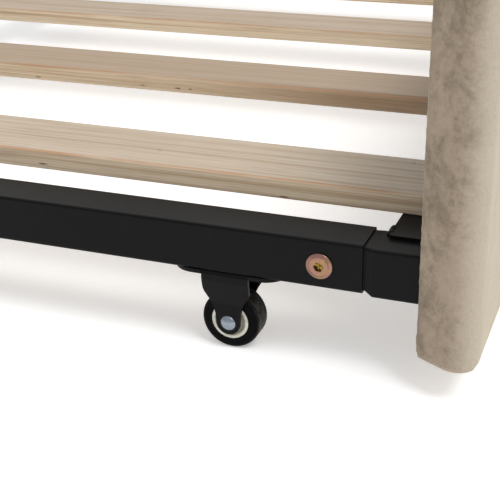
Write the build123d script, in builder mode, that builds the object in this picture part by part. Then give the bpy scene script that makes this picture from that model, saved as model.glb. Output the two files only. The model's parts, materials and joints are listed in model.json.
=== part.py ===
from build123d import *
from math import cos, radians, tan
import os

# Trundle bed: a low slatted pull-out bed on four wheels, with an upholstered front panel.
# Millimetres. X runs along the bed, the front panel is on the -Y side, Z is up.
# The origin is on the floor, under the middle of the whole bed.

os.makedirs("parts", exist_ok=True)

# ---- driving dimensions ------------------------------------------------------------------

frame_length = 1987.0  # over the outer faces of the two end rails
bed_depth = 960.0  # front of the panel to the back of the frame
floor_gap = 30.0  # under the front panel
panel_height = 300.0
panel_depth = 48.0

tube = 40.0  # square tube of the end rails and corner stubs
tube_wall = 1.5
tube_corner = 2.5
rail_bottom = 72.0  # the casters lift the end rails this far

stub_length = 43.4
stub_drop = 2.0  # the stubs hang a little lower than the end rails
neck_inset = 0.2  # play between a neck and the tube it slides into
neck_depth = 55.0
flare_start = 1.4
flare_end = 7.6

long_rail_width = 30.0  # rectangular tube of the long rails
angle_leg = 30.0
angle_thickness = 3.0
angle_setback = 24.0  # from the end rail's outer face to the end of the angle

slat_count = 8
slat_width = 82.0
slat_thickness = 17.0
slat_pitch = 253.0
slat_end_play = 1.0
slat_edge_radius = 1.5

wheel_radius = 25.0
wheel_width = 23.0
ring_radius = 16.0
caster_setback = 112.6  # from the end of the end rail to the wheel's axle
plate_length = 98.0
plate_width = 41.0
sheet = 3.0  # steel of the fork and its plate, which are one pressing
fork_width = 32.0  # over the legs at the axle; at the plate they are as wide as the plate
fork_top_length = 40.0
fork_eye_radius = 10.2
axle_radius = 3.0

bolt_setback = 33.6  # from the end of the end rail to its bolt
bolt_drop = 1.2  # the bolts sit a little under the middle of the end rails
bolt_radius = 4.0

cover_thickness = 1.2
lining_thickness = 0.8
board_thickness = 20.0
soft_gap = 0.3  # between the cover and the foam
panel_splay = 28.5  # degrees that each end of the panel leans out towards the front
panel_nose_radius = 16.0
panel_overhang = 7.5  # of the panel's back corner past the end rail

# ---- derived places ----------------------------------------------------------------------

front_y = -bed_depth / 2
back_y = bed_depth / 2
panel_back_y = front_y + panel_depth
rail_front_y = panel_back_y + stub_length
rail_back_y = back_y - stub_length
rail_length = rail_back_y - rail_front_y
rail_middle_y = (rail_front_y + rail_back_y) / 2

rail_outer_x = frame_length / 2
rail_x = rail_outer_x - tube / 2
rail_z = rail_bottom + tube / 2
stub_z = rail_z - stub_drop
ledge_z = stub_z + tube / 2
slat_z = ledge_z + angle_thickness

neck = tube - 2 * tube_wall - 2 * neck_inset
neck_outer_x = rail_outer_x - tube_wall - neck_inset
bolt_z = rail_z - bolt_drop

slats_start_x = -slat_pitch * (slat_count - 1) / 2
slat_length = back_y - panel_back_y - 2 * angle_thickness - 2 * slat_end_play

# Each corner by its side in X and its side in Y.
corners = {
    "front_left": (-1, -1),
    "front_right": (1, -1),
    "back_left": (-1, 1),
    "back_right": (1, 1),
}


def rail_end_y(side_y):
    """The end of the end rails on one side of the bed."""
    return rail_front_y if side_y < 0 else rail_back_y


def frame_face_y(side_y):
    """The outer face of the steel frame on one side: the panel's back, or the bed's back."""
    return panel_back_y if side_y < 0 else back_y


def bolt_plane(side_x, side_y, x):
    """A plane square to a corner bolt, facing out of the bed, at distance x from the middle."""
    bolt_y = rail_end_y(side_y) - side_y * bolt_setback
    return Plane(origin=(side_x * x, bolt_y, bolt_z), x_dir=(0, 1, 0), z_dir=(side_x, 0, 0))


def caster_plane(side_x, side_y, height):
    """A level plane over a caster's axle."""
    caster_y = rail_end_y(side_y) - side_y * caster_setback
    return Plane(origin=(side_x * rail_x, caster_y, height))


def axle_plane(side_x, side_y):
    """A plane through the middle of a wheel, facing out of the bed along its axle."""
    centre = caster_plane(side_x, side_y, wheel_radius).origin
    return Plane(origin=centre, x_dir=(0, 1, 0), z_dir=(side_x, 0, 0))


def tube_section(width, height, wall):
    """The hollow section of a rectangular tube, drawn in the sketch that is open."""
    RectangleRounded(width, height, tube_corner)
    inner_corner = tube_corner - wall
    RectangleRounded(width - 2 * wall, height - 2 * wall, inner_corner, mode=Mode.SUBTRACT)


# ---- end rails ---------------------------------------------------------------------------

caster_screw_offset = 35.0
caster_screw_radius = 2.5
bolt_clearance = 0.2
screw_clearance = 0.1

for rail_name, side_x in (("left_end_rail", -1), ("right_end_rail", 1)):
    rail_start = Plane(origin=(side_x * rail_x, rail_front_y, rail_z), z_dir=(0, 1, 0))
    with BuildPart() as end_rail:
        with BuildSketch(rail_start):
            tube_section(tube, tube, tube_wall)
        extrude(amount=rail_length)
        for side_y in (-1, 1):
            with BuildSketch(bolt_plane(side_x, side_y, rail_outer_x)):
                Circle(bolt_radius + bolt_clearance)
            extrude(amount=-2 * tube_wall, mode=Mode.SUBTRACT)
            with BuildSketch(caster_plane(side_x, side_y, rail_bottom)):
                with Locations((0, -caster_screw_offset), (0, caster_screw_offset)):
                    Circle(caster_screw_radius + screw_clearance)
            extrude(amount=2 * tube_wall, mode=Mode.SUBTRACT)
    end_rail.part.label = rail_name
    export_step(end_rail.part, f"parts/{rail_name}.step")

# ---- corner stubs: square tube, drawn down to a neck that slides into the end rail -------

cap_flange = 1.5

for corner, (side_x, side_y) in corners.items():

    def stub_plane(distance, height):
        """A plane across the stub, at a distance out from the end of the end rail."""
        place_y = rail_end_y(side_y) + side_y * distance
        return Plane(origin=(side_x * rail_x, place_y, height), z_dir=(0, side_y, 0))

    # The back stubs leave room for the flange of a cap at their open end.
    body_end = stub_length if side_y < 0 else stub_length - cap_flange
    with BuildPart() as stub:
        for wall, mode in ((0, Mode.ADD), (tube_wall, Mode.SUBTRACT)):
            neck_side = neck - 2 * wall
            body_side = tube - 2 * wall
            corner_radius = tube_corner - wall
            with BuildSketch(stub_plane(-neck_depth, rail_z)):
                RectangleRounded(neck_side, neck_side, corner_radius)
            extrude(amount=neck_depth + flare_start, mode=mode)
            with BuildSketch(stub_plane(flare_start, rail_z)):
                RectangleRounded(neck_side, neck_side, corner_radius)
            with BuildSketch(stub_plane(flare_end, stub_z)):
                RectangleRounded(body_side, body_side, corner_radius)
            loft(mode=mode)
            with BuildSketch(stub_plane(flare_end, stub_z)):
                RectangleRounded(body_side, body_side, corner_radius)
            extrude(amount=body_end - flare_end, mode=mode)
        with BuildSketch(bolt_plane(side_x, side_y, neck_outer_x)):
            Circle(bolt_radius + bolt_clearance)
        extrude(amount=-2 * tube_wall, mode=Mode.SUBTRACT)
    stub.part.label = f"{corner}_stub"
    export_step(stub.part, f"parts/{corner}_stub.step")

cap_insert_depth = 12.0
with BuildPart() as stub_caps:
    for side_x in (-1, 1):
        with BuildSketch(Plane(origin=(side_x * rail_x, back_y, stub_z), z_dir=(0, -1, 0))):
            RectangleRounded(tube, tube, tube_corner)
        extrude(amount=cap_flange)
        with BuildSketch(Plane(origin=(side_x * rail_x, back_y - cap_flange, stub_z), z_dir=(0, -1, 0))):
            RectangleRounded(neck, neck, tube_corner - tube_wall)
        extrude(amount=cap_insert_depth)
stub_caps.part.label = "stub_caps"
export_step(stub_caps.part, "parts/stub_caps.step")

# ---- corner bolts and the nuts welded inside the necks -----------------------------------

bolt_head_radius = 10.6
bolt_head_height = 2.8
bolt_rim_height = 1.2
bolt_crown_radius = 7.8  # the flat middle of the head, inside its sloping rim
bolt_crown_edge = 1.2
bolt_rim_edge = 0.5
bolt_length = 16.0
bolt_recess_depth = 2.2
lobe_count = 6
lobe_radius = 0.95
lobe_circle = 3.0

with BuildPart() as bolt:
    with BuildSketch(Plane.XZ):
        Polygon(
            (0, 0),
            (bolt_head_radius, 0),
            (bolt_head_radius, bolt_rim_height),
            (bolt_crown_radius, bolt_head_height),
            (0, bolt_head_height),
            align=None,
        )
    revolve(axis=Axis.Z)
    head_circles = bolt.edges().filter_by(GeomType.CIRCLE).group_by(Axis.Z)
    fillet(head_circles[-1], bolt_crown_edge)
    circles = bolt.edges().filter_by(GeomType.CIRCLE)
    fillet(circles.filter_by_position(Axis.Z, bolt_rim_height, bolt_rim_height), bolt_rim_edge)
    with BuildSketch():
        Circle(bolt_radius)
    extrude(amount=-bolt_length)
    with BuildSketch(Plane.XY.offset(bolt_head_height)):
        Circle(lobe_circle)
        with PolarLocations(lobe_circle, lobe_count):
            Circle(lobe_radius)
    extrude(amount=-bolt_recess_depth, mode=Mode.SUBTRACT)

with BuildPart() as rail_bolts:
    with Locations(*[bolt_plane(side_x, side_y, rail_outer_x) for side_x, side_y in corners.values()]):
        add(bolt.part)
rail_bolts.part.label = "rail_bolts"
export_step(rail_bolts.part, "parts/rail_bolts.step")

nut_across_flats = 13.0
nut_height = 6.5
nut_seat_x = neck_outer_x - tube_wall

with BuildPart() as weld_nuts:
    for side_x, side_y in corners.values():
        with BuildSketch(bolt_plane(side_x, side_y, nut_seat_x)):
            RegularPolygon(nut_across_flats / 2, 6, major_radius=False)
            Circle(bolt_radius + screw_clearance, mode=Mode.SUBTRACT)
        extrude(amount=-nut_height)
weld_nuts.part.label = "weld_nuts"
export_step(weld_nuts.part, "parts/weld_nuts.step")

# ---- long rails, which butt against the inner faces of the stubs -------------------------

panel_bolt_count = 5
panel_bolt_spacing = 440.0
panel_bolt_z = rail_bottom + tube / 2 - stub_drop
panel_screw_radius = 3.0
long_rail_half = rail_outer_x - tube

for rail_name, side_y in (("front_rail", -1), ("back_rail", 1)):
    rail_y = frame_face_y(side_y) - side_y * long_rail_width / 2
    with BuildPart() as long_rail:
        with BuildSketch(Plane.YZ.offset(-long_rail_half)):
            with Locations((rail_y, stub_z)):
                tube_section(long_rail_width, tube, tube_wall)
        extrude(amount=2 * long_rail_half)
        if side_y < 0:
            with BuildSketch(Plane.XZ.offset(-panel_back_y)):
                with Locations((0, panel_bolt_z)):
                    with GridLocations(panel_bolt_spacing, 1, panel_bolt_count, 1):
                        Circle(panel_screw_radius + screw_clearance)
            extrude(amount=-long_rail_width, mode=Mode.SUBTRACT)
    long_rail.part.label = rail_name
    export_step(long_rail.part, f"parts/{rail_name}.step")

# ---- slat angles: the ledges that carry the slats ----------------------------------------

slat_screw_radius = 2.0
slat_screw_inset = 17.0  # from the outer face of the frame
panel_screw_z = slat_z + slat_thickness - 2.0
panel_screw_columns = 4
angle_half = rail_outer_x - angle_setback
angle_corner = 3.0

for angle_name, side_y in (("front_slat_angle", -1), ("back_slat_angle", 1)):
    face_y = frame_face_y(side_y)
    ledge_middle_y = face_y - side_y * angle_leg / 2
    lip_middle_y = face_y - side_y * angle_thickness / 2
    with BuildPart() as slat_angle:
        with BuildSketch(Plane.XY.offset(ledge_z)):
            with Locations((0, ledge_middle_y)):
                Rectangle(2 * angle_half, angle_leg)
        extrude(amount=angle_thickness)
        inner_corners = slat_angle.edges().filter_by(Axis.Z).group_by(Axis.Y)[-1 if side_y < 0 else 0]
        fillet(inner_corners, angle_corner)
        with BuildSketch(Plane.XY.offset(ledge_z)):
            with Locations((0, lip_middle_y)):
                Rectangle(2 * angle_half, angle_thickness)
        extrude(amount=angle_leg)
        lip_corners = slat_angle.edges().filter_by(Axis.Y).group_by(Axis.Z)[-1]
        fillet(lip_corners, angle_corner)
        with BuildSketch(Plane.XY.offset(ledge_z)):
            with Locations((0, face_y - side_y * slat_screw_inset)):
                with GridLocations(slat_pitch, 1, slat_count, 1):
                    Circle(slat_screw_radius + screw_clearance)
        extrude(amount=angle_thickness, mode=Mode.SUBTRACT)
        if side_y < 0:
            with BuildSketch(Plane.XZ.offset(-panel_back_y)):
                with Locations((0, panel_screw_z)):
                    with GridLocations(2 * slat_pitch, 1, panel_screw_columns, 1):
                        Circle(panel_screw_radius + screw_clearance)
            extrude(amount=-angle_thickness, mode=Mode.SUBTRACT)
    slat_angle.part.label = angle_name
    export_step(slat_angle.part, f"parts/{angle_name}.step")

# ---- slats and their countersunk screws --------------------------------------------------

slat_screw_ys = [frame_face_y(side_y) - side_y * slat_screw_inset for side_y in (-1, 1)]
slat_middle_y = (panel_back_y + back_y) / 2
slat_screw_head_radius = 4.0
slat_screw_length = slat_thickness + angle_thickness

for number in range(slat_count):
    slat_x = slats_start_x + number * slat_pitch
    with BuildPart() as slat:
        with BuildSketch(Plane.XY.offset(slat_z)):
            with Locations((slat_x, slat_middle_y)):
                Rectangle(slat_width, slat_length)
        extrude(amount=slat_thickness)
        fillet(slat.edges().filter_by(Axis.Y), slat_edge_radius)
        with Locations(*[(slat_x, screw_y, slat_z + slat_thickness) for screw_y in slat_screw_ys]):
            CounterSinkHole(slat_screw_radius + screw_clearance, slat_screw_head_radius + screw_clearance)
    slat.part.label = f"slat_{number + 1}"
    export_step(slat.part, f"parts/slat_{number + 1}.step")


def countersunk_screw(shank_radius, screw_head_radius, length):
    """A countersunk screw standing under height 0, where its head's face is."""
    cone = screw_head_radius - shank_radius
    with BuildPart() as screw:
        with BuildSketch(Plane.XZ):
            with BuildLine():
                Polyline(
                    (0, 0),
                    (screw_head_radius, 0),
                    (shank_radius, -cone),
                    (shank_radius, -length),
                    (0, -length),
                    close=True,
                )
            make_face()
        revolve(axis=Axis.Z)
    return screw.part


slat_screw = countersunk_screw(slat_screw_radius, slat_screw_head_radius, slat_screw_length)

with BuildPart() as slat_screws:
    for screw_y in slat_screw_ys:
        with Locations((0, screw_y, slat_z + slat_thickness)):
            with GridLocations(slat_pitch, 1, slat_count, 1):
                add(slat_screw)
slat_screws.part.label = "slat_screws"
export_step(slat_screws.part, "parts/slat_screws.step")

# ---- casters: a pressed fork under a plate with round ends, and a plain-bearing wheel ----

plate_z = rail_bottom - sheet
fork_half_top = fork_top_length / 2
fork_bend_radius = 3.5
# Seen along the bed, the legs are upright, lean in, and are upright again at the wheel.
lean_top_z = rail_bottom - 8.0
lean_bottom_z = rail_bottom - 30.0
lean_radius = 10.0
# Seen from the end of the bed, each leg tapers from its shoulders to the eye.
fork_shoulder_z = rail_bottom - 14.0
fork_waist_z = rail_bottom - 25.0
fork_waist_half = 16.0
fork_ankle_z = rail_bottom - 35.0
fork_ankle_half = 11.8
caster_screw_head_radius = 4.5
caster_screw_length = 9.0

for corner, (side_x, side_y) in corners.items():
    caster_x = side_x * rail_x
    caster_y = caster_plane(side_x, side_y, 0).origin.Y
    channel_start = (caster_x, caster_y - fork_half_top, 0)
    channel_plane = Plane(origin=channel_start, x_dir=(1, 0, 0), z_dir=(0, -1, 0))
    side_start = (caster_x - plate_width, caster_y, 0)
    side_plane = Plane(origin=side_start, x_dir=(0, 1, 0), z_dir=(1, 0, 0))
    with BuildPart() as fork:
        # The sheet bent into a channel: the whole block, and then the space between the legs.
        for inset, mode in ((0, Mode.ADD), (sheet, Mode.SUBTRACT)):
            top_half = plate_width / 2 - inset
            lower_half = fork_width / 2 - inset
            with BuildSketch(channel_plane) as channel:
                Polygon(
                    (-lower_half, 0),
                    (lower_half, 0),
                    (lower_half, lean_bottom_z),
                    (top_half, lean_top_z),
                    (top_half, rail_bottom - inset),
                    (-top_half, rail_bottom - inset),
                    (-top_half, lean_top_z),
                    (-lower_half, lean_bottom_z),
                    align=None,
                )
                levels = channel.vertices().group_by(Axis.Y)
                fillet(levels[1] + levels[2], lean_radius)
                fillet(channel.vertices().group_by(Axis.Y)[-1], fork_bend_radius - inset)
            extrude(amount=-fork_top_length, mode=mode)
        with BuildSketch(side_plane):
            with BuildLine():
                top = Line((-fork_half_top, rail_bottom), (fork_half_top, rail_bottom))
                near_side = Line(top @ 1, (fork_half_top, fork_shoulder_z))
                near_taper = Spline(
                    near_side @ 1,
                    (fork_waist_half, fork_waist_z),
                    (fork_ankle_half, fork_ankle_z),
                    (fork_eye_radius, wheel_radius),
                    tangents=((0, -1), (0, -1)),
                )
                eye = ThreePointArc(
                    near_taper @ 1,
                    (0, wheel_radius - fork_eye_radius),
                    (-fork_eye_radius, wheel_radius),
                )
                far_taper = Spline(
                    eye @ 1,
                    (-fork_ankle_half, fork_ankle_z),
                    (-fork_waist_half, fork_waist_z),
                    (-fork_half_top, fork_shoulder_z),
                    tangents=((0, 1), (0, 1)),
                )
                Line(far_taper @ 1, top @ 0)
            make_face()
        extrude(amount=2 * plate_width, mode=Mode.INTERSECT)
        # The plate runs on past the legs at both ends.
        with BuildSketch(caster_plane(side_x, side_y, plate_z)):
            SlotOverall(plate_length, plate_width, rotation=90)
            Rectangle(2 * plate_width, fork_top_length, mode=Mode.SUBTRACT)
        extrude(amount=sheet)
        with BuildSketch(axle_plane(side_x, side_y)):
            Circle(axle_radius + screw_clearance)
        extrude(amount=fork_width, both=True, mode=Mode.SUBTRACT)
        with Locations(Plane(origin=(caster_x, caster_y, plate_z), z_dir=(0, 0, -1))):
            with Locations((0, -caster_screw_offset), (0, caster_screw_offset)):
                CounterSinkHole(
                    caster_screw_radius + screw_clearance,
                    caster_screw_head_radius + screw_clearance,
                )
    fork.part.label = f"{corner}_caster_fork"
    export_step(fork.part, f"parts/{corner}_caster_fork.step")

caster_screw = countersunk_screw(caster_screw_radius, caster_screw_head_radius, caster_screw_length)

with BuildPart() as caster_screws:
    for side_x, side_y in corners.values():
        centre = caster_plane(side_x, side_y, plate_z).origin
        with Locations(Plane(origin=centre, z_dir=(0, 0, -1))):
            with Locations((0, -caster_screw_offset), (0, caster_screw_offset)):
                add(caster_screw)
caster_screws.part.label = "caster_screws"
export_step(caster_screws.part, "parts/caster_screws.step")

# The pieces of a wheel are drawn about the Z axis, half outline by half outline, with the
# outside of the bed towards +Z, and then set on each axle.

axle_clearance = 0.05
head_radius = 6.5
head_height = 3.0
riveted_radius = 4.8
riveted_height = 2.0
riveted_taper = 25.0
fork_half = fork_width / 2
dome_radius = (head_radius**2 + head_height**2) / (2 * head_height)

with BuildPart() as axle_shape:
    with BuildSketch(Plane.XY.offset(-fork_half)):
        Circle(axle_radius)
    extrude(amount=fork_width)
    with BuildSketch(Plane.XY.offset(-fork_half)):
        Circle(riveted_radius)
    extrude(amount=-riveted_height, taper=riveted_taper)
    # The outer head is a low dome, whose outline's centre lies on the axle.
    with BuildSketch(Plane.XZ):
        with BuildLine():
            dome_edge = Line((0, fork_half), (head_radius, fork_half))
            dome = RadiusArc(dome_edge @ 1, (0, fork_half + head_height), -dome_radius)
            Line(dome @ 1, dome_edge @ 0)
        make_face()
    revolve(axis=Axis.Z)

bush_radius = 4.5
bush_half = fork_half - sheet - 0.1

with BuildPart() as bush_shape:
    with BuildSketch(Plane.XY.offset(-bush_half)):
        Circle(bush_radius)
        Circle(axle_radius + axle_clearance, mode=Mode.SUBTRACT)
    extrude(amount=2 * bush_half)

hub_radius = 7.2
hub_half = 12.4
rim_inner_radius = 13.0
web_half = 4.0
rim_half = wheel_width / 2
rim_edge = 0.6

with BuildPart() as core_shape:
    with BuildSketch(Plane.XZ):
        hub_bore = bush_radius + axle_clearance
        with Locations(((hub_bore + hub_radius) / 2, 0)):
            Rectangle(hub_radius - hub_bore, 2 * hub_half)
        with Locations(((hub_bore + ring_radius) / 2, 0)):
            Rectangle(ring_radius - hub_bore, 2 * web_half)
        with Locations(((rim_inner_radius + ring_radius) / 2, 0)):
            Rectangle(ring_radius - rim_inner_radius, 2 * rim_half)
    revolve(axis=Axis.Z)
    circles = core_shape.edges().filter_by(GeomType.CIRCLE)
    rim_circles = circles.filter_by_position(Axis.Z, rim_half, rim_half)
    far_rim_circles = circles.filter_by_position(Axis.Z, -rim_half, -rim_half)
    fillet(rim_circles + far_rim_circles, rim_edge)

tyre_shoulder = 4.0
tyre_seat_gap = 0.05

with BuildPart() as tyre_shape:
    with BuildSketch(Plane.XZ) as tyre_section:
        with BuildLine():
            Polyline(
                (ring_radius + tyre_seat_gap, -rim_half),
                (wheel_radius, -rim_half),
                (wheel_radius, rim_half),
                (ring_radius + tyre_seat_gap, rim_half),
                close=True,
            )
        make_face()
        fillet(tyre_section.vertices().group_by(Axis.X)[-1], tyre_shoulder)
    revolve(axis=Axis.Z)

wheel_pieces = {
    "caster_axle": axle_shape,
    "caster_bush": bush_shape,
    "caster_core": core_shape,
    "caster_tyre": tyre_shape,
}

for corner, (side_x, side_y) in corners.items():
    for piece_name, shape in wheel_pieces.items():
        with BuildPart() as wheel_piece:
            with Locations(axle_plane(side_x, side_y)):
                add(shape.part)
        wheel_piece.part.label = f"{corner}_{piece_name}"
        export_step(wheel_piece.part, f"parts/{corner}_{piece_name}.step")

# ---- front panel: board, foam, velvet cover and lining -----------------------------------

panel_rim = 3.5
back_corner = 4.0
panel_top = floor_gap + panel_height
panel_middle_z = floor_gap + panel_height / 2
splay = radians(panel_splay)
hem_y = panel_back_y - lining_thickness
board_back_y = hem_y - cover_thickness
board_end_margin = 10.0  # from the panel's back corner to the board's end
board_edge_margin = 6.0  # from the panel's top and bottom to the board's edges
board_half = rail_outer_x + panel_overhang - board_end_margin
board_height = panel_height - 2 * board_edge_margin
lining_margin = 16.0
hem_width = 35.0
board_hole_depth = 18.0


def panel_block(inset):
    """The upholstered panel as one padded block, with every face moved in by the inset."""

    def end_x(y):
        return rail_outer_x + panel_overhang + tan(splay) * (hem_y - y) - inset / cos(splay)

    block_back_y = hem_y - inset
    block_front_y = front_y + inset
    with BuildPart() as block:
        with BuildSketch(Plane.XY.offset(floor_gap + inset)) as outline:
            with BuildLine():
                Polyline(
                    (-end_x(block_back_y), block_back_y),
                    (-end_x(block_front_y), block_front_y),
                    (end_x(block_front_y), block_front_y),
                    (end_x(block_back_y), block_back_y),
                    close=True,
                )
            make_face()
            fillet(outline.vertices().group_by(Axis.Y)[0], panel_nose_radius - inset)
            fillet(outline.vertices().group_by(Axis.Y)[-1], back_corner - inset)
        extrude(amount=panel_height - 2 * inset)
        rims = block.edges().group_by(Axis.Z)[0] + block.edges().group_by(Axis.Z)[-1]
        fillet(rims, panel_rim - inset)
    return block.part


cover_outside = panel_block(0)
cover_inside = panel_block(cover_thickness)
foam_outside = panel_block(cover_thickness + soft_gap)

with BuildPart() as panel_cover:
    add(cover_outside)
    add(cover_inside, mode=Mode.SUBTRACT)
    with BuildSketch(Plane.XZ.offset(-hem_y)):
        with Locations((0, panel_middle_z)):
            Rectangle(2 * (rail_outer_x - hem_width), panel_height - 2 * hem_width)
    extrude(amount=cover_thickness, mode=Mode.SUBTRACT)
panel_cover.part.label = "panel_cover"
export_step(panel_cover.part, "parts/panel_cover.step")

with BuildPart() as panel_board:
    with BuildSketch(Plane.XZ.offset(-board_back_y)):
        with Locations((0, panel_middle_z)):
            Rectangle(2 * board_half, board_height)
    extrude(amount=board_thickness)
    with BuildSketch(Plane.XZ.offset(-board_back_y)):
        with Locations((0, panel_bolt_z)):
            with GridLocations(panel_bolt_spacing, 1, panel_bolt_count, 1):
                Circle(panel_screw_radius + screw_clearance)
        with Locations((0, panel_screw_z)):
            with GridLocations(2 * slat_pitch, 1, panel_screw_columns, 1):
                Circle(panel_screw_radius + screw_clearance)
    extrude(amount=board_hole_depth, mode=Mode.SUBTRACT)
panel_board.part.label = "panel_board"
export_step(panel_board.part, "parts/panel_board.step")

with BuildPart() as panel_foam:
    add(foam_outside)
    with BuildSketch(Plane.XZ.offset(-board_back_y)):
        with Locations((0, panel_middle_z)):
            Rectangle(2 * board_half, board_height)
    extrude(amount=board_thickness, mode=Mode.SUBTRACT)
    split(bisect_by=Plane.XZ.offset(-board_back_y), keep=Keep.TOP)
panel_foam.part.label = "panel_foam"
export_step(panel_foam.part, "parts/panel_foam.step")

with BuildPart() as panel_lining:
    with BuildSketch(Plane.XZ.offset(-panel_back_y)):
        with Locations((0, panel_middle_z)):
            Rectangle(2 * (rail_outer_x - lining_margin), panel_height - 2 * lining_margin)
        with Locations((0, panel_bolt_z)):
            with GridLocations(panel_bolt_spacing, 1, panel_bolt_count, 1):
                Circle(panel_screw_radius + screw_clearance, mode=Mode.SUBTRACT)
        with Locations((0, panel_screw_z)):
            with GridLocations(2 * slat_pitch, 1, panel_screw_columns, 1):
                Circle(panel_screw_radius + screw_clearance, mode=Mode.SUBTRACT)
    extrude(amount=lining_thickness)
panel_lining.part.label = "panel_lining"
export_step(panel_lining.part, "parts/panel_lining.step")

# ---- fixings of the panel: screws through the lip, bolts through the front rail ----------

pan_radius = 6.0
pan_height = 3.5
pan_edge = 1.5
screw_end_gap = 1.0
board_hole_end_y = board_back_y - board_hole_depth + screw_end_gap


def pan_head_screw(length):
    """A pan-head screw along -Z, with the underside of its head at height 0."""
    with BuildPart() as screw:
        with BuildSketch():
            Circle(pan_radius)
        extrude(amount=pan_height)
        fillet(screw.edges().group_by(Axis.Z)[-1], pan_edge)
        with BuildSketch():
            Circle(panel_screw_radius)
        extrude(amount=-length)
    return screw.part


lip_face_y = panel_back_y + angle_thickness
rail_face_y = panel_back_y + long_rail_width
panel_screw = pan_head_screw(lip_face_y - board_hole_end_y)
panel_bolt = pan_head_screw(rail_face_y - board_hole_end_y)

with BuildPart() as panel_screws:
    with Locations(Plane(origin=(0, lip_face_y, panel_screw_z), z_dir=(0, 1, 0), x_dir=(1, 0, 0))):
        with GridLocations(2 * slat_pitch, 1, panel_screw_columns, 1):
            add(panel_screw)
panel_screws.part.label = "panel_screws"
export_step(panel_screws.part, "parts/panel_screws.step")

with BuildPart() as panel_bolts:
    with Locations(Plane(origin=(0, rail_face_y, panel_bolt_z), z_dir=(0, 1, 0), x_dir=(1, 0, 0))):
        with GridLocations(panel_bolt_spacing, 1, panel_bolt_count, 1):
            add(panel_bolt)
panel_bolts.part.label = "panel_bolts"
export_step(panel_bolts.part, "parts/panel_bolts.step")
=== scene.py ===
import json
import math
import random

import bmesh
import bpy
import numpy as np
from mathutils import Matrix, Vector, kdtree, noise


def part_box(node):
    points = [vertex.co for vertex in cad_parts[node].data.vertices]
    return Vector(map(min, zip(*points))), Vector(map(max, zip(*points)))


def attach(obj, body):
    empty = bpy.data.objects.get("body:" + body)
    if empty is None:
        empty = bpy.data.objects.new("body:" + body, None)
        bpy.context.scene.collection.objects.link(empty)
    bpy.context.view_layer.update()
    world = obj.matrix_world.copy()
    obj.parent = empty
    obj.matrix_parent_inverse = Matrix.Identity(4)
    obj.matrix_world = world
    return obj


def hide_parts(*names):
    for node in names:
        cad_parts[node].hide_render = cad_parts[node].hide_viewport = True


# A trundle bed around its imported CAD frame. Metres, in the frame's own axes: X along the bed,
# the upholstered front panel towards -Y, Z up from the floor.

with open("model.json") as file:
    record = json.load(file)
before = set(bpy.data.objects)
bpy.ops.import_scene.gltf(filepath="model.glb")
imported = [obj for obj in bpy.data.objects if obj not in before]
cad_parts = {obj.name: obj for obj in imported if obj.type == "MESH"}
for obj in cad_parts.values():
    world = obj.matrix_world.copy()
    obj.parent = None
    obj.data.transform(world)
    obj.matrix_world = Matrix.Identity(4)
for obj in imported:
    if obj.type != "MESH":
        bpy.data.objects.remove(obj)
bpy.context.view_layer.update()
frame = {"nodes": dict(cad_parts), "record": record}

SEED = 7
random.seed(SEED)
MM = 0.001

scene = bpy.context.scene
scene.view_settings.view_transform = "Standard"


# ---- small helpers for node materials ----------------------------------------------------


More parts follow.
